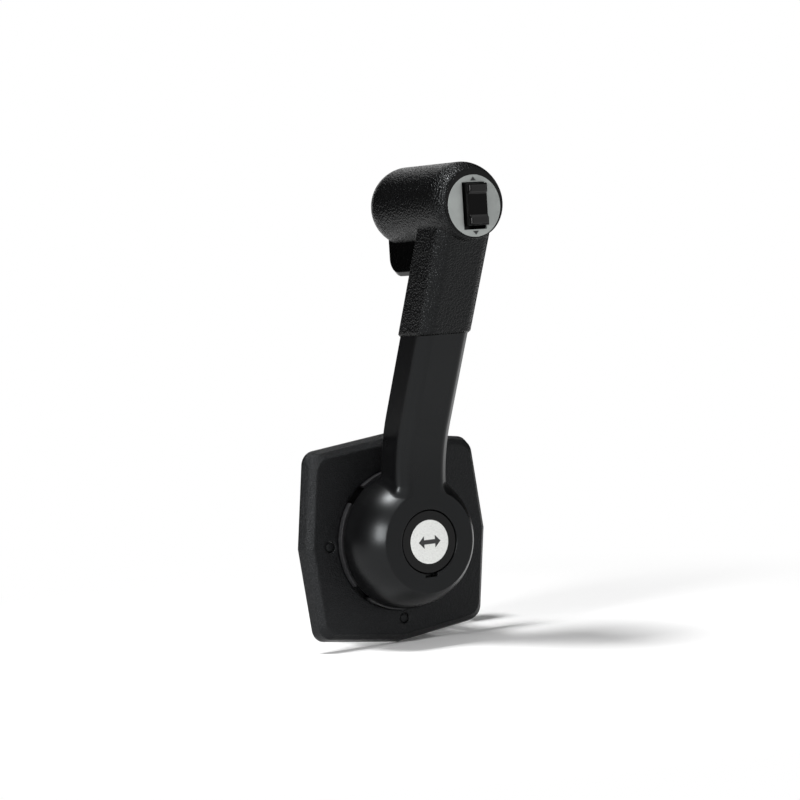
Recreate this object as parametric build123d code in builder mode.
from build123d import *
from math import acos, cos, pi, radians, sin, sqrt, tan
import os

# Single-lever engine control for a side panel, millimetres.
# Frame: origin where the lever's pivot axis meets the panel face.
# X runs fore and aft, -Y points out of the panel towards the hand, +Z is up.

os.makedirs("parts", exist_ok=True)

# ---------------------------------------------------------------- driving sizes
# escutcheon
plate_thickness = 8.0
plate_half_width = 55.0
plate_half_height = 53.7
plate_corner_x = 49.3
plate_corner_z = 47.6
plate_corner_round = 7.5
plate_edge_height = 5.0
plate_draft = 1.7
plate_chamfer = 3.0
plate_opening_radius = 36.2

# screws through the plate into the panel
mount_circle_radius = 40.8
mount_hole_radius = 2.8
mount_hole_count = 4

# chassis behind the plate
collar_radius = 35.9
collar_wall = 1.6
collar_height = 3.0
collar_slots = 4
collar_slot_angle = 18.0
flange_radius = 45.0
flange_thickness = 3.0
floor_thickness = 4.0
bearing_radius = 12.0
bearing_out = 8.0
lock_ring_radius = 20.0
lock_ring_wall = 4.0
lock_ring_out = 17.0
lock_notch_width = 5.0
lock_notch_depth = 6.0

# panel gasket
gasket_radius = 49.0
gasket_width = 2.6
gasket_thickness = 1.2

# lever casting
dome_radius = 35.3
dome_centre_out = 12.4
dome_wall = 3.0
hub_face_out = 36.7
front_wall = 3.7
recess_radius = 16.2
recess_depth = 12.2
recess_wall = 3.3
hub_radius = 13.0
hub_back_out = 8.6
arm_width = 29.2
arm_thickness = 24.0
arm_front_bevel = 5.1
arm_front_bevel_depth = 4.3
arm_back_bevel = 4.0
arm_back_bevel_depth = 4.7
arm_front_round = 4.0
arm_back_round = 1.6
arm_bend_start = 24.8
arm_bend_radius = 75.0
arm_lean = 25.0
arm_top_drop = 24.0
rib_count = 6
rib_thickness = 2.5
rib_back_out = 22.0
rib_overlap = 2.0

# shaft and its fits
shaft_radius = 8.0
shaft_flat = 6.6
gear_seat_radius = 5.5
running_gap = 0.05
bush_wall = 1.5

# hub bolt
washer_radius = 9.0
washer_thickness = 1.5
bolt_radius = 3.0
bolt_head_radius = 6.0
bolt_head_height = 4.0
bolt_length = 14.0
bolt_hex = 5.0

# throttle-only button
button_radius = 15.5
button_sink = 0.4
button_face_thickness = 3.0
button_skirt_wall = 2.0
button_skirt_length = 7.0
badge_radius = 11.0
badge_thickness = 1.0
badge_proud = 0.3
notch_width = 7.5
notch_depth = 1.5
notch_length = 4.0
spring_wire = 1.0
spring_turns = 3

# grip; drops are measured down from the middle of its head
grip_wall = 0.9
grip_length = 63.5
grip_rim_chamfer = 1.0
head_height = 167.0
head_radius = 19.6
head_end_radius = 19.2
head_end_depth = 18.5
head_length = 76.8
head_overhang = 13.0
head_round = 11.0
head_round_steps = 3
arm_fit = 0.05

# switch end of the grip
bezel_radius = 16.2
bezel_drop = 1.4
bezel_depth = 11.0
bezel_lip = 0.2
switch_plate_radius = 14.8
switch_plate_drop = 1.1
switch_plate_thickness = 1.0
switch_plate_proud = 0.2
window_width = 13.0
window_height = 22.5
switch_wall = 1.0
rocker_width = 11.2
rocker_height = 20.2
rocker_depth = 4.8
rocker_proud = 2.7
rocker_bump = 0.7
rocker_bump_height = 4.6
rocker_rise = 0.6
rocker_pin_radius = 1.0
terminal_count = 3
terminal_rise = 0.9
terminal_pitch = 3.4
terminal_thickness = 0.8
terminal_width = 4.0
terminal_length = 3.0
terminal_room_width = 10.5
terminal_room_height = 9.0
terminal_room_depth = 3.0

# neutral-lock trigger
trigger_width = 17.0
trigger_set_back = 8.8
trigger_bottom_drop = 34.0
trigger_top_drop = 15.0
trigger_round = 9.0
trigger_bevel = 2.0
trigger_neck_gap = 0.8
trigger_side_gap = 0.4
trigger_slot_drop = 21.0
trigger_arm_width = 9.0
trigger_arm_thickness = 3.0
trigger_travel = 4.5
rod_radius = 2.0
rod_gap = 0.6
rod_bore_end = 26.0
lock_gap = 0.6
lock_spring_radius = 3.8
lock_spring_wire = 0.9
lock_spring_turns = 6
lock_spring_set_back = 23.8
lock_seat_rise = 2.0
lock_well_radius = 5.0
lock_well_rise = 2.0

# gear train between the two plates
gear_module = 1.5
pressure_angle = 25.0
drive_teeth = 12
output_teeth = 24
gear_backlash = 0.16
gear_face = 5.0
gear_gap = 2.0
gear_train_start = 3.0
output_angle = 30.0
sector_angle = 62.0
sector_hub_radius = 8.0
output_shaft_radius = 4.0
frame_depth = 21.0
back_plate_radius = 34.0
back_plate_thickness = 3.0

# output arms
arm_plate_thickness = 3.0
arm_plate_width = 9.0
arm_plate_gap = 2.3
shift_arm_length = 44.0
throttle_arm_length = 30.0
cable_pin_radius = 2.4
cable_pin_length = 8.0
cable_pin_shoulder = 0.4
clip_thickness = 0.8
clip_width = 1.6
clip_groove = 0.8
clip_stand = 0.3
shaft_end = 2.0

# screws that hold the escutcheon to the chassis
plate_screw_radius = 1.5
plate_screw_head_radius = 2.8
plate_screw_head_height = 1.3
plate_screw_length = 6.5

# frame pillars
pillar_radius = 3.0
pillar_spots = [(30.5, 6.0), (-30.5, 6.0), (0.0, -29.5)]
pillar_screw_radius = 1.5
pillar_screw_head_radius = 2.8
pillar_screw_head_height = 2.0
pillar_screw_length = 8.0

# detent, switch and friction shoe
detent_radius = 11.0
detent_thickness = 2.0
detent_notch_radius = 2.2
detent_angles = [-30.0, 0.0, 30.0]
detent_gap = 0.4
roller_radius = 2.2
roller_length = 3.0
leaf_length = 30.0
leaf_thickness = 0.8
leaf_width = 3.4
lug_width = 4.0
lug_height = 4.0
friction_lug_height = 7.0
friction_lug_gap = 1.2
safety_switch_size = (10.0, 6.0, 12.0)
plunger_radius = 1.4
plunger_gap = 0.3
plunger_length = 2.7
shoe_length = 6.0
shoe_height = 9.0
friction_screw_radius = 2.0
friction_head_radius = 2.7
friction_head_height = 3.0

# cable bracket
bracket_thickness = 3.0
bracket_reach = 58.0
seat_length = 10.0
seat_radius = 4.75
clamp_screw_radius = 1.5
clamp_wall = 5.0
clamp_screw_depth = 4.0
bracket_overlap = 2.0

# ---------------------------------------------------------------- derived places
lean = radians(arm_lean)
collar_top = plate_thickness + collar_height
floor_back = -(floor_thickness - flange_thickness)
back_plate_front = floor_back - frame_depth
back_plate_back = back_plate_front - back_plate_thickness
recess_floor = hub_face_out - recess_depth
centre_distance = gear_module * (drive_teeth + output_teeth) / 2
output_x = centre_distance * sin(radians(output_angle))
output_z = centre_distance * cos(radians(output_angle))
gear_one_out = -gear_train_start
gear_two_out = gear_one_out - gear_face - gear_gap
detent_out = gear_two_out - gear_face - gear_gap
arm_centre_out = hub_face_out - arm_thickness / 2
bend_centre_radius = arm_bend_radius + arm_thickness / 2
bend_rise = bend_centre_radius * sin(lean)
bend_shift = bend_centre_radius * (1 - cos(lean))
bend_end_out = arm_centre_out + bend_shift
bend_end_height = arm_bend_start + bend_rise
arm_direction = (0, -sin(lean), cos(lean))
arm_top = head_height - arm_top_drop
grip_rim = head_height - grip_length
bezel_height = head_height - bezel_drop
switch_plate_height = bezel_height - switch_plate_drop
terminal_height = switch_plate_height + terminal_rise
trigger_bottom = head_height - trigger_bottom_drop
trigger_top = head_height - trigger_top_drop
lock_well_top = head_height + lock_well_rise


def facing(out):
    """Plane parallel to the panel, `out` mm in front of it, normal towards the hand."""
    return Plane.XZ.offset(out)


def lever_out(height):
    """Distance in front of the panel of the arm's centre line at a height above the bend."""
    return bend_end_out + (height - bend_end_height) * tan(lean)


def across_arm(height):
    """Plane square to the arm's straight upper run, centred on it at the given height."""
    return Plane(origin=(0, -lever_out(height), height), x_dir=(1, 0, 0), z_dir=arm_direction)


head_outboard = lever_out(head_height) + head_overhang
head_inboard = head_outboard - head_length
trigger_inboard = head_inboard + trigger_set_back
lock_spring_out = head_inboard + lock_spring_set_back


def arm_outline(grow):
    """Corners of the arm's section, grown by a wall; its front points along -Y."""
    half = arm_width / 2 + grow
    depth = arm_thickness / 2 + grow
    return [
        (half - arm_front_bevel, -depth),
        (half, -depth + arm_front_bevel_depth),
        (half, depth - arm_back_bevel_depth),
        (half - arm_back_bevel, depth),
        (-half + arm_back_bevel, depth),
        (-half, depth - arm_back_bevel_depth),
        (-half, -depth + arm_front_bevel_depth),
        (-half + arm_front_bevel, -depth),
    ]


def arm_section(grow):
    """The arm's section with its long edges rounded, softest at the front."""
    with BuildSketch() as section:
        Polygon(*arm_outline(grow), align=None)
        fillet(section.vertices().sort_by(Axis.Y)[:4], arm_front_round + grow)
        fillet(section.vertices().sort_by(Axis.Y)[-4:], arm_back_round + grow)
    return section.sketch


def plate_outline(inset):
    """Eight-sided outline of the escutcheon, moved in by `inset` on every side."""
    shrink_x = 1 - inset / plate_half_width
    shrink_z = 1 - inset / plate_half_height
    x = plate_corner_x * shrink_x
    z = plate_corner_z * shrink_z
    side = plate_half_width * shrink_x
    top = plate_half_height * shrink_z
    return [(x, z), (0, top), (-x, z), (-side, 0), (-x, -z), (0, -top), (x, -z), (side, 0)]


def plate_sketch(inset):
    """Escutcheon outline with its four corners rounded."""
    with BuildSketch() as outline:
        with BuildLine():
            Polyline(*plate_outline(inset), close=True)
        make_face()
        corners = outline.vertices().sort_by(lambda v: abs(v.X) + abs(v.Y))[-4:]
        fillet(corners, plate_corner_round)
    return outline.sketch


def involute_half_angle(radius, teeth):
    """Half the angle that a tooth spans at a radius, in radians."""
    pitch_radius = gear_module * teeth / 2
    base = pitch_radius * cos(radians(pressure_angle))
    at_pitch = pi / (2 * teeth) - gear_backlash / (2 * pitch_radius)
    angle = radians(pressure_angle)
    start = tan(angle) - angle
    local = acos(min(1.0, base / radius))
    return at_pitch + start - (tan(local) - local)


def gear_points(teeth, first_angle):
    """Corner points of every tooth: root, base, two on the flank and tip, on both sides."""
    pitch_radius = gear_module * teeth / 2
    base = pitch_radius * cos(radians(pressure_angle))
    root = pitch_radius - 1.25 * gear_module
    tip = pitch_radius + gear_module
    radii = [base, base + (tip - base) * 0.35, base + (tip - base) * 0.7, tip]
    rows = []
    for tooth in range(teeth):
        middle = radians(first_angle) + 2 * pi * tooth / teeth
        side = []
        for radius in radii:
            half = involute_half_angle(radius, teeth)
            side.append((radius, half))
        rows.append((middle, root, side))
    return rows


def gear_outline(teeth, first_angle):
    """Full toothed outline in a flat sketch, with a tooth's middle at the first angle."""
    def at(radius, angle):
        return (radius * cos(angle), radius * sin(angle))

    rows = gear_points(teeth, first_angle)
    with BuildSketch() as outline:
        with BuildLine():
            for index, (middle, root, side) in enumerate(rows):
                base_half = side[0][1]
                rising = [at(radius, middle - half) for radius, half in side]
                falling = [at(radius, middle + half) for radius, half in reversed(side)]
                Line(at(root, middle - base_half), rising[0])
                Spline(*rising)
                Line(rising[-1], falling[0])
                Spline(*falling)
                Line(falling[-1], at(root, middle + base_half))
                following = rows[(index + 1) % len(rows)]
                Line(at(root, middle + base_half), at(root, following[0] - following[2][0][1]))
        make_face()
    return outline.sketch


def turned(steps):
    """Round piece about the pivot axis from (distance out, radius) steps along it."""
    outline = [(-steps[0][0], 0)] + [(-out, radius) for out, radius in steps] + [(-steps[-1][0], 0)]
    with BuildPart() as piece:
        with BuildSketch(Plane.YZ):
            with BuildLine():
                Polyline(*outline, close=True)
            make_face()
        revolve(axis=Axis.Y)
    return piece.part


def save(part, name):
    """Labels a finished piece and writes its file."""
    part.label = name
    export_step(part, "parts/" + name + ".step")


def shaft_seat():
    """Round seat with two flats that carries the turning load from lever to shaft."""
    with BuildSketch() as seat:
        Circle(shaft_radius)
        Rectangle(2 * shaft_radius, 2 * shaft_flat, mode=Mode.INTERSECT)
    return seat.sketch


def plate_screws():
    """The four countersunk screws that hold the escutcheon to the chassis."""
    with BuildPart() as screws:
        with BuildSketch(facing(0)):
            with PolarLocations(mount_circle_radius, mount_hole_count, start_angle=45):
                Circle(plate_screw_head_radius)
        extrude(amount=plate_screw_head_height, taper=45)
        with BuildSketch(facing(0)):
            with PolarLocations(mount_circle_radius, mount_hole_count, start_angle=45):
                Circle(plate_screw_radius)
        extrude(amount=plate_screw_length)
    return screws.part


# ---------------------------------------------------------------- escutcheon
with BuildPart() as escutcheon:
    with BuildSketch(facing(0)):
        add(plate_sketch(0))
    with BuildSketch(facing(plate_edge_height)):
        add(plate_sketch(plate_draft))
    loft()
    with BuildSketch(facing(plate_edge_height)):
        add(plate_sketch(plate_draft))
    with BuildSketch(facing(plate_thickness)):
        add(plate_sketch(plate_draft + plate_chamfer))
    loft()
    with BuildSketch(facing(plate_thickness)):
        Circle(plate_opening_radius)
    extrude(amount=-plate_thickness, mode=Mode.SUBTRACT)
    with BuildSketch(facing(0)):
        Circle(flange_radius)
    extrude(amount=flange_thickness, mode=Mode.SUBTRACT)
    with BuildSketch(facing(0)):
        Circle(gasket_radius)
        Circle(gasket_radius - gasket_width, mode=Mode.SUBTRACT)
    extrude(amount=gasket_thickness, mode=Mode.SUBTRACT)
    with BuildSketch(facing(plate_thickness)):
        with PolarLocations(mount_circle_radius, mount_hole_count):
            Circle(mount_hole_radius)
    extrude(amount=-plate_thickness, mode=Mode.SUBTRACT)
    add(plate_screws(), mode=Mode.SUBTRACT)
save(escutcheon.part, "escutcheon")

# ---------------------------------------------------------------- panel gasket
with BuildPart() as panel_gasket:
    with BuildSketch(facing(0)):
        Circle(gasket_radius)
        Circle(gasket_radius - gasket_width, mode=Mode.SUBTRACT)
    extrude(amount=gasket_thickness)
save(panel_gasket.part, "panel_gasket")

# ---------------------------------------------------------------- chassis
front_bush_radius = shaft_radius + running_gap + bush_wall
output_shaft_spots = [(-output_x, output_z), (output_x, output_z)]
with BuildPart() as chassis:
    with BuildSketch(facing(0)):
        Circle(flange_radius)
    extrude(amount=flange_thickness)
    with BuildSketch(facing(floor_back)):
        Circle(collar_radius)
    extrude(amount=floor_thickness)
    with BuildSketch(facing(flange_thickness)):
        Circle(collar_radius)
        Circle(collar_radius - collar_wall, mode=Mode.SUBTRACT)
    extrude(amount=collar_top - flange_thickness)
    with BuildSketch(facing(collar_top)):
        with PolarLocations(collar_radius, collar_slots, start_angle=180 / collar_slots):
            Rectangle(4 * collar_wall, 2 * collar_radius * sin(radians(collar_slot_angle / 2)))
    extrude(amount=flange_thickness - collar_top, mode=Mode.SUBTRACT)
    with BuildSketch(facing(flange_thickness)):
        Circle(lock_ring_radius)
        Circle(lock_ring_radius - lock_ring_wall, mode=Mode.SUBTRACT)
    extrude(amount=lock_ring_out - flange_thickness)
    with BuildSketch(facing(lock_ring_out)):
        with Locations((0, lock_ring_radius)):
            Rectangle(lock_notch_width, lock_ring_wall)
    extrude(amount=-lock_notch_depth, mode=Mode.SUBTRACT)
    with BuildSketch(facing(flange_thickness)):
        Circle(bearing_radius)
    extrude(amount=bearing_out - flange_thickness)
    with BuildSketch(facing(bearing_out)):
        Circle(front_bush_radius)
    extrude(amount=floor_back - bearing_out, mode=Mode.SUBTRACT)
    with BuildSketch(facing(flange_thickness)):
        with Locations(*output_shaft_spots):
            Circle(output_shaft_radius + running_gap)
    extrude(amount=-floor_thickness, mode=Mode.SUBTRACT)
    with BuildSketch(facing(flange_thickness)):
        with PolarLocations(mount_circle_radius, mount_hole_count):
            Circle(mount_hole_radius)
    extrude(amount=-flange_thickness, mode=Mode.SUBTRACT)
    with BuildSketch(facing(flange_thickness)):
        with Locations(*pillar_spots):
            Circle(pillar_screw_radius)
    extrude(amount=-floor_thickness, mode=Mode.SUBTRACT)
    add(plate_screws(), mode=Mode.SUBTRACT)
save(chassis.part, "chassis")

# ---------------------------------------------------------------- shaft bushes
with BuildPart() as front_bush:
    with BuildSketch(facing(bearing_out)):
        Circle(front_bush_radius)
        Circle(shaft_radius + running_gap, mode=Mode.SUBTRACT)
    extrude(amount=floor_back - bearing_out)
save(front_bush.part, "front_bush")

rear_bush_radius = gear_seat_radius + running_gap + bush_wall
with BuildPart() as rear_bush:
    with BuildSketch(facing(back_plate_back)):
        Circle(rear_bush_radius)
        Circle(gear_seat_radius + running_gap, mode=Mode.SUBTRACT)
    extrude(amount=back_plate_thickness)
save(rear_bush.part, "rear_bush")

# ---------------------------------------------------------------- back plate
lug_front = detent_out + (leaf_width - detent_thickness) / 2
leaf_top = -(detent_radius + detent_gap + 2 * roller_radius)
leaf_bottom = leaf_top - leaf_thickness
lug_x = (leaf_length - lug_width) / 2
lug_spots = [(side * lug_x, leaf_bottom - lug_height / 2) for side in (-1, 1)]
shoe_inner = detent_radius + detent_gap
shoe_outer = shoe_inner + shoe_length
friction_lug_x = shoe_outer + friction_lug_gap
seat_centre_out = back_plate_back - arm_plate_gap - arm_plate_thickness - cable_pin_length / 2
shift_seat_z = output_z - shift_arm_length
throttle_seat_z = output_z - throttle_arm_length
bracket_screw_spots = [(12.0, -27.0), (23.0, -21.0)]
with BuildPart() as back_plate:
    with BuildSketch(facing(back_plate_back)):
        Circle(back_plate_radius)
        Circle(rear_bush_radius, mode=Mode.SUBTRACT)
        with Locations(*output_shaft_spots):
            Circle(output_shaft_radius + running_gap, mode=Mode.SUBTRACT)
        with Locations(*pillar_spots, *bracket_screw_spots):
            Circle(pillar_screw_radius, mode=Mode.SUBTRACT)
    extrude(amount=back_plate_thickness)
    with BuildSketch(facing(back_plate_front)):
        with Locations(*lug_spots):
            Rectangle(lug_width, lug_height)
        with Locations((friction_lug_x + lug_width / 2, 0)):
            Rectangle(lug_width, friction_lug_height)
    extrude(amount=lug_front - back_plate_front)
    with BuildSketch(Plane.YZ.offset(friction_lug_x)):
        with Locations((-(back_plate_front + lug_front) / 2, 0)):
            Circle(friction_screw_radius)
    extrude(amount=lug_width, mode=Mode.SUBTRACT)
save(back_plate.part, "back_plate")

# ---------------------------------------------------------------- frame pillars and screws
with BuildPart() as frame_pillars:
    with BuildSketch(facing(floor_back)):
        with Locations(*pillar_spots):
            Circle(pillar_radius)
            Circle(pillar_screw_radius, mode=Mode.SUBTRACT)
    extrude(amount=-frame_depth)
save(frame_pillars.part, "frame_pillars")

with BuildPart() as frame_screws:
    with BuildSketch(facing(back_plate_back)):
        with Locations(*pillar_spots):
            Circle(pillar_screw_head_radius)
    extrude(amount=-pillar_screw_head_height)
    with BuildSketch(facing(back_plate_back - pillar_screw_head_height)):
        with Locations(*pillar_spots):
            Circle(pillar_screw_radius)
    extrude(amount=pillar_screw_head_height + pillar_screw_length)
save(frame_screws.part, "frame_screws")

save(plate_screws(), "escutcheon_screws")

# ---------------------------------------------------------------- lever casting
rod_bore_length = (arm_top + arm_thickness - rod_bore_end) / cos(lean)
sphere_flat_radius = sqrt(dome_radius**2 - (hub_face_out - dome_centre_out) ** 2)
inner_radius = dome_radius - dome_wall
inner_front_out = hub_face_out - front_wall
inner_flat_radius = sqrt(inner_radius**2 - (inner_front_out - dome_centre_out) ** 2)
pocket_wall_radius = recess_radius + recess_wall
hub_step_out = recess_floor - washer_thickness
rib_middle = inner_flat_radius - rib_overlap
rib_length = 2 * (inner_flat_radius - pocket_wall_radius)
with BuildPart() as lever_arm:
    # dome: a hemisphere about the pivot axis with a flat front
    with BuildSketch(Plane.YZ):
        with BuildLine():
            Line((-dome_centre_out, 0), (-dome_centre_out, dome_radius))
            RadiusArc(
                (-dome_centre_out, dome_radius), (-hub_face_out, sphere_flat_radius), -dome_radius
            )
            Line((-hub_face_out, sphere_flat_radius), (-hub_face_out, 0))
            Line((-hub_face_out, 0), (-dome_centre_out, 0))
        make_face()
    revolve(axis=Axis.Y)
    # arm: one bevelled section carried up the bent centre line
    with BuildLine(Plane.YZ) as arm_path:
        Line((-arm_centre_out, 0), (-arm_centre_out, arm_bend_start))
        JernArc(arm_path.line @ 1, (0, 1), bend_centre_radius, arm_lean)
        top_out = lever_out(arm_top + arm_thickness)
        Line(arm_path.line @ 1, (-top_out, arm_top + arm_thickness))
    with BuildSketch(Plane.XY.shift_origin((0, -arm_centre_out, 0))):
        add(arm_section(0))
    sweep(path=arm_path.wire())
    split(bisect_by=Plane.XY.offset(arm_top), keep=Keep.BOTTOM)
    # hollow of the dome, round the hub
    with BuildSketch(Plane.YZ):
        with BuildLine():
            Line((-hub_back_out, 0), (-hub_back_out, inner_radius))
            Line((-hub_back_out, inner_radius), (-dome_centre_out, inner_radius))
            RadiusArc(
                (-dome_centre_out, inner_radius), (-inner_front_out, inner_flat_radius), -inner_radius
            )
            Line((-inner_front_out, inner_flat_radius), (-inner_front_out, 0))
            Line((-inner_front_out, 0), (-hub_back_out, 0))
        make_face()
    revolve(axis=Axis.Y, mode=Mode.SUBTRACT)
    # ribs, button pocket and hub
    with BuildSketch(facing(rib_back_out)):
        with PolarLocations(rib_middle, rib_count, start_angle=180 / rib_count):
            Rectangle(rib_length, rib_thickness)
    extrude(amount=inner_front_out - rib_back_out)
    with BuildSketch(facing(hub_step_out)):
        Circle(pocket_wall_radius)
    extrude(amount=hub_face_out - hub_step_out)
    with BuildSketch(facing(hub_back_out)):
        Circle(hub_radius)
    extrude(amount=hub_step_out - hub_back_out)
    with BuildSketch(facing(hub_face_out)):
        Circle(recess_radius)
    extrude(amount=-recess_depth, mode=Mode.SUBTRACT)
    with BuildSketch(facing(hub_face_out)):
        with Locations((0, -recess_radius)):
            Rectangle(notch_width, 2 * notch_depth)
    extrude(amount=-notch_length, mode=Mode.SUBTRACT)
    with BuildSketch(facing(hub_back_out)):
        add(shaft_seat())
    extrude(amount=recess_floor - hub_back_out, mode=Mode.SUBTRACT)
    # straight bore for the lock rod
    with BuildSketch(across_arm(arm_top + arm_thickness)):
        Circle(rod_radius + rod_gap)
    extrude(amount=-rod_bore_length, mode=Mode.SUBTRACT)
save(lever_arm.part, "lever_arm")

# ---------------------------------------------------------------- drive shaft
clip_out = back_plate_back - clip_stand
with BuildPart() as drive_shaft:
    add(
        turned(
            [
                (recess_floor, shaft_radius),
                (floor_back, shaft_radius),
                (floor_back, gear_seat_radius),
                (clip_out, gear_seat_radius),
                (clip_out, gear_seat_radius - clip_groove),
                (clip_out - clip_thickness, gear_seat_radius - clip_groove),
                (clip_out - clip_thickness, gear_seat_radius),
                (back_plate_back - shaft_end, gear_seat_radius),
            ]
        )
    )
    with BuildSketch(facing(bearing_out)):
        Rectangle(3 * shaft_radius, 3 * shaft_radius)
        add(shaft_seat(), mode=Mode.SUBTRACT)
    extrude(amount=recess_floor - bearing_out, mode=Mode.SUBTRACT)
    with BuildSketch(facing(recess_floor - bolt_length)):
        Circle(bolt_radius)
    extrude(amount=bolt_length, mode=Mode.SUBTRACT)
save(drive_shaft.part, "drive_shaft")

with BuildPart() as hub_washer:
    with BuildSketch(facing(recess_floor)):
        Circle(washer_radius)
        Circle(bolt_radius, mode=Mode.SUBTRACT)
    extrude(amount=washer_thickness)
save(hub_washer.part, "hub_washer")

with BuildPart() as hub_bolt:
    with BuildSketch(facing(recess_floor + washer_thickness)):
        Circle(bolt_head_radius)
    extrude(amount=bolt_head_height)
    with BuildSketch(facing(recess_floor + washer_thickness)):
        Circle(bolt_radius)
    extrude(amount=-(washer_thickness + bolt_length))
    with BuildSketch(facing(recess_floor + washer_thickness + bolt_head_height)):
        RegularPolygon(bolt_hex / 2, 6, major_radius=False)
    extrude(amount=-bolt_head_height / 2, mode=Mode.SUBTRACT)
save(hub_bolt.part, "hub_bolt")

# ---------------------------------------------------------------- drive gear and detent plate
with BuildPart() as drive_gear:
    with BuildSketch(facing(gear_one_out)):
        add(gear_outline(drive_teeth, 0))
        Circle(gear_seat_radius, mode=Mode.SUBTRACT)
    extrude(amount=-(2 * gear_face + gear_gap))
save(drive_gear.part, "drive_gear")

with BuildPart() as detent_plate:
    with BuildSketch(facing(detent_out)):
        Circle(detent_radius)
        with Locations(*[Rotation(0, 0, turn) for turn in detent_angles]):
            with Locations((0, -detent_radius)):
                Circle(detent_notch_radius, mode=Mode.SUBTRACT)
        Circle(gear_seat_radius, mode=Mode.SUBTRACT)
    extrude(amount=-detent_thickness)
save(detent_plate.part, "detent_plate")

# ---------------------------------------------------------------- output gears, shafts and arms
def output_gear(spot, out, turn):
    """Toothed sector on a hub; its middle faces the drive gear."""
    towards = 270 + turn
    reach = gear_module * output_teeth
    corners = [radians(towards + side * sector_angle) for side in (-1, 0, 1)]
    with BuildSketch() as window:
        Circle(sector_hub_radius)
        with BuildLine():
            Polyline((0, 0), *[(reach * cos(a), reach * sin(a)) for a in corners], close=True)
        make_face()
    with BuildPart() as gear:
        with BuildSketch(facing(out)):
            add(gear_outline(output_teeth, towards + 180 / output_teeth))
            add(window.sketch, mode=Mode.INTERSECT)
            Circle(output_shaft_radius, mode=Mode.SUBTRACT)
        extrude(amount=-gear_face)
    return gear.part.moved(Location((spot[0], 0, spot[1])))


def output_shaft(spot):
    """Shaft from the chassis floor to behind the output arm, with a groove for its clip."""
    steps = [
        (flange_thickness, output_shaft_radius),
        (output_clip_out, output_shaft_radius),
        (output_clip_out, output_shaft_radius - clip_groove),
        (output_clip_out - clip_thickness, output_shaft_radius - clip_groove),
        (output_clip_out - clip_thickness, output_shaft_radius),
        (output_clip_out - 2 * clip_thickness, output_shaft_radius),
    ]
    return turned(steps).moved(Location((spot[0], 0, spot[1])))


def clip(spot, radius, out):
    """Retaining ring in a shaft's groove, with a gap at the top."""
    with BuildPart() as ring:
        with BuildSketch(facing(out)):
            with Locations(spot):
                Circle(radius + clip_width)
                Circle(radius - clip_groove, mode=Mode.SUBTRACT)
            with Locations((spot[0], spot[1] + radius)):
                Rectangle(radius, 2 * radius, mode=Mode.SUBTRACT)
        extrude(amount=-clip_thickness)
    return ring.part


def output_arm(spot, length):
    """Plate arm that hangs from its shaft, with the boss that it is clamped by."""
    front = back_plate_back - arm_plate_gap
    with BuildPart() as arm:
        with BuildSketch(facing(front)):
            with Locations((spot[0], spot[1] - length / 2)):
                Rectangle(arm_plate_width, length)
            with Locations((spot[0], spot[1] - length)):
                Circle(arm_plate_width / 2)
            with Locations(spot):
                Circle(sector_hub_radius)
                Circle(output_shaft_radius, mode=Mode.SUBTRACT)
            with Locations((spot[0], spot[1] - length), (spot[0], spot[1] - length + arm_plate_width)):
                Circle(cable_pin_radius - cable_pin_shoulder, mode=Mode.SUBTRACT)
        extrude(amount=-arm_plate_thickness)
    return arm.part


def cable_pin(spot, length):
    """Stud at the arm's end that takes the cable's eye, riveted through the plate."""
    front = back_plate_back - arm_plate_gap
    with BuildPart() as pin:
        with BuildSketch(facing(front)):
            with Locations((spot[0], spot[1] - length)):
                Circle(cable_pin_radius - cable_pin_shoulder)
        extrude(amount=-arm_plate_thickness)
        with BuildSketch(facing(front - arm_plate_thickness)):
            with Locations((spot[0], spot[1] - length)):
                Circle(cable_pin_radius)
        extrude(amount=-cable_pin_length)
    return pin.part


shift_spot = output_shaft_spots[0]
throttle_spot = output_shaft_spots[1]
output_clip_out = back_plate_back - arm_plate_gap - arm_plate_thickness - clip_stand
save(output_gear(shift_spot, gear_one_out, output_angle), "shift_gear")
save(output_gear(throttle_spot, gear_two_out, -output_angle), "throttle_gear")
save(output_shaft(shift_spot), "shift_shaft")
save(output_shaft(throttle_spot), "throttle_shaft")
save(output_arm(shift_spot, shift_arm_length), "shift_arm")
save(output_arm(throttle_spot, throttle_arm_length), "throttle_arm")
save(cable_pin(shift_spot, shift_arm_length), "shift_cable_pin")
save(cable_pin(throttle_spot, throttle_arm_length), "throttle_cable_pin")
save(clip(shift_spot, output_shaft_radius, output_clip_out), "shift_clip")
save(clip(throttle_spot, output_shaft_radius, output_clip_out), "throttle_clip")
save(clip((0, 0), gear_seat_radius, clip_out), "shaft_clip")

# ---------------------------------------------------------------- throttle-only button
button_face_out = hub_face_out - button_sink
button_back_out = button_face_out - button_face_thickness
with BuildPart() as button_cap:
    with BuildSketch(facing(button_face_out)):
        Circle(button_radius)
    extrude(amount=-button_skirt_length)
    with BuildSketch(facing(button_back_out)):
        Circle(button_radius - button_skirt_wall)
    extrude(amount=-button_skirt_length, mode=Mode.SUBTRACT)
    with BuildSketch(facing(button_face_out)):
        Circle(badge_radius)
    extrude(amount=-(badge_thickness - badge_proud), mode=Mode.SUBTRACT)
save(button_cap.part, "button_cap")

with BuildPart() as badge_disc:
    with BuildSketch(facing(button_face_out + badge_proud)):
        Circle(badge_radius)
    extrude(amount=-badge_thickness)
save(badge_disc.part, "badge_disc")

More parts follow.
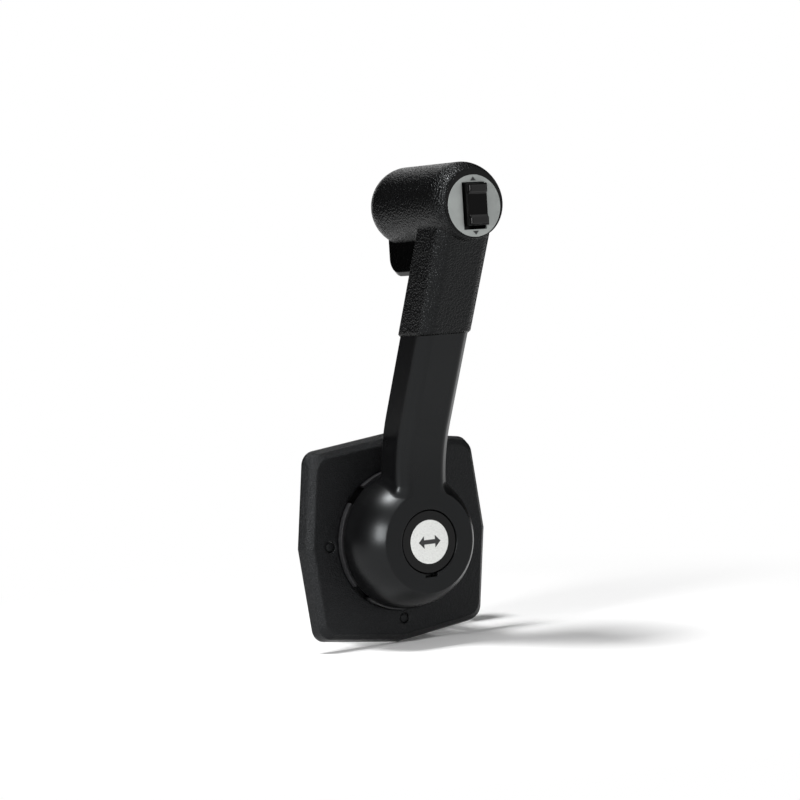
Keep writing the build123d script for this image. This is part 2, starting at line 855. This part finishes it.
button_spring_floor = recess_floor
button_spring_radius = (button_radius - button_skirt_wall + washer_radius) / 2
button_spring_length = button_back_out - button_spring_floor - spring_wire
with BuildPart() as button_spring:
    with BuildLine() as button_coil:
        Helix(
            button_spring_length / spring_turns,
            button_spring_length,
            button_spring_radius,
            center=(0, -button_spring_floor - spring_wire / 2, 0),
            direction=(0, -1, 0),
        )
    with BuildSketch(Plane(button_coil.line @ 0, z_dir=button_coil.line % 0)):
        Circle(spring_wire / 2)
    sweep(path=button_coil.line, is_frenet=True)
save(button_spring.part, "button_spring")

# ---------------------------------------------------------------- grip
neck_half_depth = (arm_thickness / 2 + grip_wall) / cos(lean)
trigger_half = trigger_width / 2
cavity_half = trigger_half + trigger_side_gap
cavity_front_out = trigger_inboard - trigger_side_gap
slot_bottom = head_height - trigger_slot_drop
cavity_floor = trigger_top - trigger_arm_thickness - trigger_side_gap
cavity_top = trigger_top + trigger_travel * cos(lean) + 2 * trigger_side_gap + lock_seat_rise
neck_back_out = lever_out(cavity_floor) - neck_half_depth
rod_hook_out = lever_out(trigger_top) + trigger_arm_width / 2
lock_cavity_out = rod_hook_out + trigger_travel * sin(lean) + trigger_side_gap
bezel_back_out = head_outboard - bezel_depth


def lock_axis(height):
    """Plane square to the lock spring's axis at a height; the axis runs along the upper arm."""
    out = lock_spring_out + (height - trigger_top) * tan(lean)
    return Plane(origin=(0, -out, height), x_dir=(1, 0, 0), z_dir=arm_direction)


def block(half_width, out_range, height_range):
    """Box centred across the lever, between two distances out and two heights."""
    width = 2 * half_width
    depth = out_range[1] - out_range[0]
    height = height_range[1] - height_range[0]
    middle = (0, -(out_range[0] + out_range[1]) / 2, (height_range[0] + height_range[1]) / 2)
    with BuildPart() as box:
        with Locations(middle):
            Box(width, depth, height)
    return box.part


with BuildPart() as arm_pocket:
    with BuildSketch(across_arm(grip_rim - arm_thickness)):
        add(arm_section(arm_fit))
    extrude(amount=2 * (arm_top - grip_rim + arm_thickness))
    split(bisect_by=Plane.XY.offset(arm_top), keep=Keep.BOTTOM)

head_round_drop = head_end_radius - bezel_radius - bezel_lip
head_round_radius = (head_round**2 + head_round_drop**2) / (2 * head_round_drop)
head_round_start = head_outboard - head_round
head_end_curve = (head_radius**2 + head_end_depth**2) / (2 * head_end_depth)
with BuildPart() as grip:
    # palm head: a round-ended bar across the panel, a little slimmer towards the switch
    with BuildSketch(Plane.YZ):
        with BuildLine():
            RadiusArc(
                (-head_inboard, head_height),
                (-head_inboard - head_end_depth, head_height + head_radius),
                -head_end_curve,
            )
            Polyline(
                (-head_inboard - head_end_depth, head_height + head_radius),
                (-head_round_start, head_height + head_end_radius),
                (-head_round_start, head_height),
                (-head_inboard, head_height),
            )
        make_face()
    revolve(axis=Axis((0, 0, head_height), (0, 1, 0)))
    for step in range(head_round_steps + 1):
        along = head_round * step / head_round_steps
        drop = head_round_radius - sqrt(head_round_radius**2 - along**2)
        with BuildSketch(facing(head_round_start + along)):
            with Locations((0, head_height - bezel_drop * drop / head_round_drop)):
                Circle(head_end_radius - drop)
    loft()
    # neck sleeve over the arm
    with BuildSketch(across_arm(arm_top)):
        add(arm_section(grip_wall))
    extrude(amount=-(arm_top - grip_rim) * 2)
    with BuildSketch(across_arm(arm_top)):
        add(arm_section(grip_wall))
    extrude(amount=(head_height - arm_top))
    split(bisect_by=Plane.XY.offset(grip_rim), keep=Keep.TOP)
    chamfer(grip.faces().sort_by(Axis.Z)[0].edges(), grip_rim_chamfer)
    # pocket for the arm, cavity and slot for the lock lever
    add(arm_pocket.part, mode=Mode.SUBTRACT)
    add(
        block(cavity_half, (cavity_front_out, lock_cavity_out), (cavity_floor, cavity_top)),
        mode=Mode.SUBTRACT,
    )
    add(
        block(cavity_half, (cavity_front_out, neck_back_out), (slot_bottom, cavity_top)),
        mode=Mode.SUBTRACT,
    )
    # bore for the lock rod and well for its spring
    with BuildSketch(across_arm(trigger_top)):
        Circle(rod_radius + rod_gap)
    extrude(amount=-(trigger_top - arm_top) * 2, mode=Mode.SUBTRACT)
    with BuildSketch(lock_axis(lock_well_top)):
        Circle(lock_well_radius)
    extrude(amount=-(lock_well_top - cavity_top) * 1.5, mode=Mode.SUBTRACT)
    # seat for the switch bezel and room for the switch's terminals
    with BuildSketch(facing(head_outboard)):
        with Locations((0, bezel_height)):
            Circle(bezel_radius)
    extrude(amount=-bezel_depth, mode=Mode.SUBTRACT)
    with BuildSketch(facing(bezel_back_out)):
        with Locations((0, terminal_height)):
            Rectangle(terminal_room_width, terminal_room_height)
    extrude(amount=-terminal_room_depth, mode=Mode.SUBTRACT)
save(grip.part, "grip")

# ---------------------------------------------------------------- trim switch in the grip's end
plate_back_out = head_outboard + switch_plate_proud - switch_plate_thickness
switch_back_out = bezel_back_out + switch_wall
switch_floor_out = switch_back_out + 2 * switch_wall
rocker_height_middle = switch_plate_height + rocker_rise
rocker_face_out = head_outboard + switch_plate_proud + rocker_proud
rocker_pin_out = rocker_face_out - rocker_depth
switch_half_width = window_width / 2 + switch_wall
switch_outer_height = window_height + 2 * switch_wall
with BuildPart() as switch_bezel:
    with BuildSketch(facing(bezel_back_out)):
        with Locations((0, bezel_height)):
            Circle(bezel_radius)
    extrude(amount=bezel_depth)
    with BuildSketch(facing(head_outboard)):
        with Locations((0, switch_plate_height)):
            Circle(switch_plate_radius)
    extrude(amount=plate_back_out - head_outboard, mode=Mode.SUBTRACT)
    with BuildSketch(facing(head_outboard)):
        with Locations((0, switch_plate_height)):
            Rectangle(2 * switch_half_width, switch_outer_height)
    extrude(amount=switch_back_out - head_outboard, mode=Mode.SUBTRACT)
    with BuildSketch(facing(switch_back_out)):
        with Locations((0, terminal_height)):
            Rectangle(terminal_room_width, terminal_room_height)
    extrude(amount=-switch_wall, mode=Mode.SUBTRACT)
save(switch_bezel.part, "switch_bezel")

with BuildPart() as switch_plate:
    with BuildSketch(facing(plate_back_out)):
        with Locations((0, switch_plate_height)):
            Circle(switch_plate_radius)
            Rectangle(window_width, window_height, mode=Mode.SUBTRACT)
    extrude(amount=switch_plate_thickness)
save(switch_plate.part, "switch_plate")

with BuildPart() as trim_switch:
    with BuildSketch(facing(switch_back_out)):
        with Locations((0, switch_plate_height)):
            Rectangle(2 * switch_half_width, switch_outer_height)
    extrude(amount=plate_back_out - switch_back_out)
    with BuildSketch(facing(switch_floor_out)):
        with Locations((0, switch_plate_height)):
            Rectangle(window_width, window_height)
    extrude(amount=plate_back_out - switch_floor_out, mode=Mode.SUBTRACT)
    with BuildSketch(facing(switch_back_out)):
        with Locations((0, terminal_height)):
            with GridLocations(terminal_pitch, terminal_pitch, terminal_count, 1):
                Rectangle(terminal_thickness, terminal_width)
    extrude(amount=-terminal_length)
    with BuildSketch(Plane.YZ.offset(-switch_half_width)):
        with Locations((-rocker_pin_out, rocker_height_middle)):
            Circle(rocker_pin_radius)
    extrude(amount=2 * switch_half_width, mode=Mode.SUBTRACT)
save(trim_switch.part, "trim_switch")

half_rocker = rocker_height / 2
bump_out = rocker_face_out + rocker_bump
inner_bump = half_rocker - rocker_bump_height
rocker_side = [
    (inner_bump, rocker_face_out),
    (inner_bump + rocker_bump, bump_out),
    (half_rocker - rocker_bump / 2, bump_out),
    (half_rocker, bump_out - rocker_bump),
    (half_rocker, rocker_pin_out + rocker_pin_radius),
    (half_rocker / 2, rocker_pin_out - 2 * rocker_pin_radius),
]
rocker_outline = [(-out, rocker_height_middle + z) for z, out in rocker_side]
rocker_outline += [(-out, rocker_height_middle - z) for z, out in reversed(rocker_side)]
with BuildPart() as trim_rocker:
    with BuildSketch(Plane.YZ.offset(-rocker_width / 2)):
        Polygon(*rocker_outline, align=None)
        with Locations((-rocker_pin_out, rocker_height_middle)):
            Circle(rocker_pin_radius + running_gap, mode=Mode.SUBTRACT)
    extrude(amount=rocker_width)
save(trim_rocker.part, "trim_rocker")

with BuildPart() as rocker_pin:
    with BuildSketch(Plane.YZ.offset(-switch_half_width)):
        with Locations((-rocker_pin_out, rocker_height_middle)):
            Circle(rocker_pin_radius)
    extrude(amount=2 * switch_half_width)
save(rocker_pin.part, "rocker_pin")

# ---------------------------------------------------------------- neutral lock: trigger, rod and spring
trigger_back_gap = neck_half_depth + trigger_neck_gap
trigger_side = [
    (trigger_inboard, trigger_top),
    (trigger_inboard, trigger_bottom),
    (lever_out(trigger_bottom) - trigger_back_gap, trigger_bottom),
    (lever_out(trigger_top) - trigger_back_gap, trigger_top),
]
with BuildPart() as lock_trigger:
    with BuildSketch(Plane.YZ.offset(-trigger_half)) as trigger_profile:
        Polygon(*[(-out, z) for out, z in trigger_side], align=None)
        inner_corner = trigger_profile.vertices().sort_by(lambda v: v.Y - v.X)[0]
        fillet(inner_corner, trigger_round)
    extrude(amount=trigger_width)
    chamfer(lock_trigger.faces().sort_by(Axis.Z)[0].edges().filter_by(Axis.Y), trigger_bevel)
    add(
        block(
            trigger_arm_width / 2,
            (trigger_inboard + trigger_round, rod_hook_out),
            (trigger_top - trigger_arm_thickness, trigger_top),
        )
    )
    with BuildSketch(lock_axis(trigger_top - lock_seat_rise)):
        Circle(lock_spring_radius + lock_spring_wire / 2)
    extrude(amount=2 * lock_seat_rise / cos(lean))
    with BuildSketch(across_arm(trigger_top + lock_seat_rise)):
        Circle(rod_radius)
    extrude(amount=-4 * lock_seat_rise - trigger_arm_thickness, mode=Mode.SUBTRACT)
save(lock_trigger.part, "lock_trigger")

rod_nose_height = lock_ring_radius + lock_gap + rod_radius * sin(lean)
with BuildPart() as lock_rod:
    with BuildSketch(across_arm(rod_nose_height)):
        Circle(rod_radius)
    extrude(amount=(trigger_top + rod_radius - rod_nose_height) / cos(lean))
save(lock_rod.part, "lock_rod")

lock_spring_bottom = trigger_top + lock_seat_rise
lock_spring_length = (lock_well_top - lock_spring_bottom) / cos(lean) - lock_spring_wire
with BuildPart() as lock_spring:
    with BuildLine() as lock_coil:
        Helix(
            lock_spring_length / lock_spring_turns,
            lock_spring_length,
            lock_spring_radius,
            center=tuple(lock_axis(lock_spring_bottom + lock_spring_wire / 2 * cos(lean)).origin),
            direction=arm_direction,
        )
    with BuildSketch(Plane(lock_coil.line @ 0, z_dir=lock_coil.line % 0)):
        Circle(lock_spring_wire / 2)
    sweep(path=lock_coil.line, is_frenet=True)
save(lock_spring.part, "lock_spring")

# ---------------------------------------------------------------- detent spring and roller
roller_z = -(detent_radius + detent_gap + roller_radius)
detent_middle_out = detent_out - detent_thickness / 2
with BuildPart() as detent_roller:
    with BuildSketch(facing(detent_middle_out - roller_length / 2)):
        with Locations((0, roller_z)):
            Circle(roller_radius)
    extrude(amount=roller_length)
save(detent_roller.part, "detent_roller")

cradle_x = roller_radius + running_gap + leaf_thickness / 2
with BuildPart() as detent_spring:
    with BuildSketch(facing(detent_middle_out - leaf_width / 2)):
        with Locations((0, leaf_bottom + leaf_thickness / 2)):
            Rectangle(leaf_length, leaf_thickness)
        with Locations(*[(x, leaf_top + roller_radius / 2) for x in (-cradle_x, cradle_x)]):
            Rectangle(leaf_thickness, roller_radius + leaf_thickness)
    extrude(amount=leaf_width)
save(detent_spring.part, "detent_spring")

# ---------------------------------------------------------------- neutral safety switch
switch_x = -(detent_radius + plunger_gap + plunger_length)
with BuildPart() as neutral_switch:
    with BuildSketch(facing(back_plate_front)):
        with Locations((switch_x - safety_switch_size[0] / 2, 0)):
            Rectangle(safety_switch_size[0], safety_switch_size[2])
    extrude(amount=safety_switch_size[1])
    with BuildSketch(Plane.YZ.offset(switch_x)):
        with Locations((-detent_middle_out, 0)):
            Circle(plunger_radius)
    extrude(amount=plunger_length)
save(neutral_switch.part, "neutral_switch")

# ---------------------------------------------------------------- friction shoe and its screw
with BuildPart() as friction_shoe:
    with BuildSketch(facing(back_plate_front)):
        with Locations(((shoe_inner + shoe_outer) / 2, 0)):
            Rectangle(shoe_length, shoe_height)
    extrude(amount=lug_front - back_plate_front)
save(friction_shoe.part, "friction_shoe")

friction_screw_out = (back_plate_front + lug_front) / 2
with BuildPart() as friction_screw:
    with BuildSketch(Plane.YZ.offset(shoe_outer)):
        with Locations((-friction_screw_out, 0)):
            Circle(friction_screw_radius)
    extrude(amount=friction_lug_x + lug_width - shoe_outer)
    with BuildSketch(Plane.YZ.offset(friction_lug_x + lug_width)):
        with Locations((-friction_screw_out, 0)):
            Circle(friction_head_radius)
    extrude(amount=friction_head_height)
save(friction_screw.part, "friction_screw")

# ---------------------------------------------------------------- cable bracket and clamp
seat_z = (shift_seat_z, throttle_seat_z)
seat_middle_z = (shift_seat_z + throttle_seat_z) / 2
seat_block_height = throttle_seat_z - shift_seat_z + 2 * (seat_radius + clamp_wall)
seat_x = bracket_reach + seat_length / 2 - bracket_overlap
clamp_screw_z = [
    seat_middle_z - seat_block_height / 2 + clamp_wall / 2,
    seat_middle_z,
    seat_middle_z + seat_block_height / 2 - clamp_wall / 2,
]
bracket_top_z = seat_middle_z + seat_block_height / 2
bracket_bottom_z = seat_middle_z - seat_block_height / 2
bracket_end_x = seat_x + seat_length / 2
bracket_back_out = back_plate_back - bracket_thickness
bracket_outline = [
    (6.0, -31.5),
    (6.0, -24.5),
    (19.0, -15.5),
    (45.0, -4.0),
    (bracket_end_x - seat_length, bracket_top_z),
    (bracket_end_x, bracket_top_z),
    (bracket_end_x, bracket_bottom_z),
    (40.0, bracket_bottom_z),
]
with BuildPart() as cable_bracket:
    with BuildSketch(facing(back_plate_back)):
        Polygon(*bracket_outline, align=None)
        with Locations(*bracket_screw_spots):
            Circle(pillar_screw_radius, mode=Mode.SUBTRACT)
    extrude(amount=-bracket_thickness)
    with BuildSketch(facing(bracket_back_out)):
        with Locations((seat_x, seat_middle_z)):
            Rectangle(seat_length, seat_block_height)
    extrude(amount=seat_centre_out - bracket_back_out)
    with BuildSketch(Plane.YZ.offset(seat_x - seat_length / 2)):
        with Locations(*[(-seat_centre_out, z) for z in seat_z]):
            Circle(seat_radius)
    extrude(amount=seat_length, mode=Mode.SUBTRACT)
    with BuildSketch(facing(seat_centre_out)):
        with Locations(*[(seat_x, z) for z in clamp_screw_z]):
            Circle(clamp_screw_radius)
    extrude(amount=clamp_screw_depth, mode=Mode.SUBTRACT)
save(cable_bracket.part, "cable_bracket")

clamp_height = seat_radius + bracket_thickness
with BuildPart() as cable_clamp:
    with BuildSketch(facing(seat_centre_out)):
        with Locations((seat_x, seat_middle_z)):
            Rectangle(seat_length, seat_block_height)
    extrude(amount=-clamp_height)
    with BuildSketch(Plane.YZ.offset(seat_x - seat_length / 2)):
        with Locations(*[(-seat_centre_out, z) for z in seat_z]):
            Circle(seat_radius)
    extrude(amount=seat_length, mode=Mode.SUBTRACT)
    with BuildSketch(facing(seat_centre_out)):
        with Locations(*[(seat_x, z) for z in clamp_screw_z]):
            Circle(clamp_screw_radius)
    extrude(amount=-clamp_height, mode=Mode.SUBTRACT)
save(cable_clamp.part, "cable_clamp")


def panhead_screws(spots, out, length):
    """Screws with round heads seated at a distance out and their shanks pointing outboard."""
    with BuildPart() as screws:
        with BuildSketch(facing(out)):
            with Locations(*spots):
                Circle(pillar_screw_head_radius)
        extrude(amount=-pillar_screw_head_height)
        with BuildSketch(facing(out)):
            with Locations(*spots):
                Circle(pillar_screw_radius)
        extrude(amount=length)
    return screws.part


clamp_spots = [(seat_x, z) for z in clamp_screw_z]
clamp_head_out = seat_centre_out - clamp_height
clamp_screw_length = clamp_height + clamp_screw_depth
save(panhead_screws(clamp_spots, clamp_head_out, clamp_screw_length), "clamp_screws")
bracket_screw_length = bracket_thickness + back_plate_thickness
save(panhead_screws(bracket_screw_spots, bracket_back_out, bracket_screw_length), "bracket_screws")
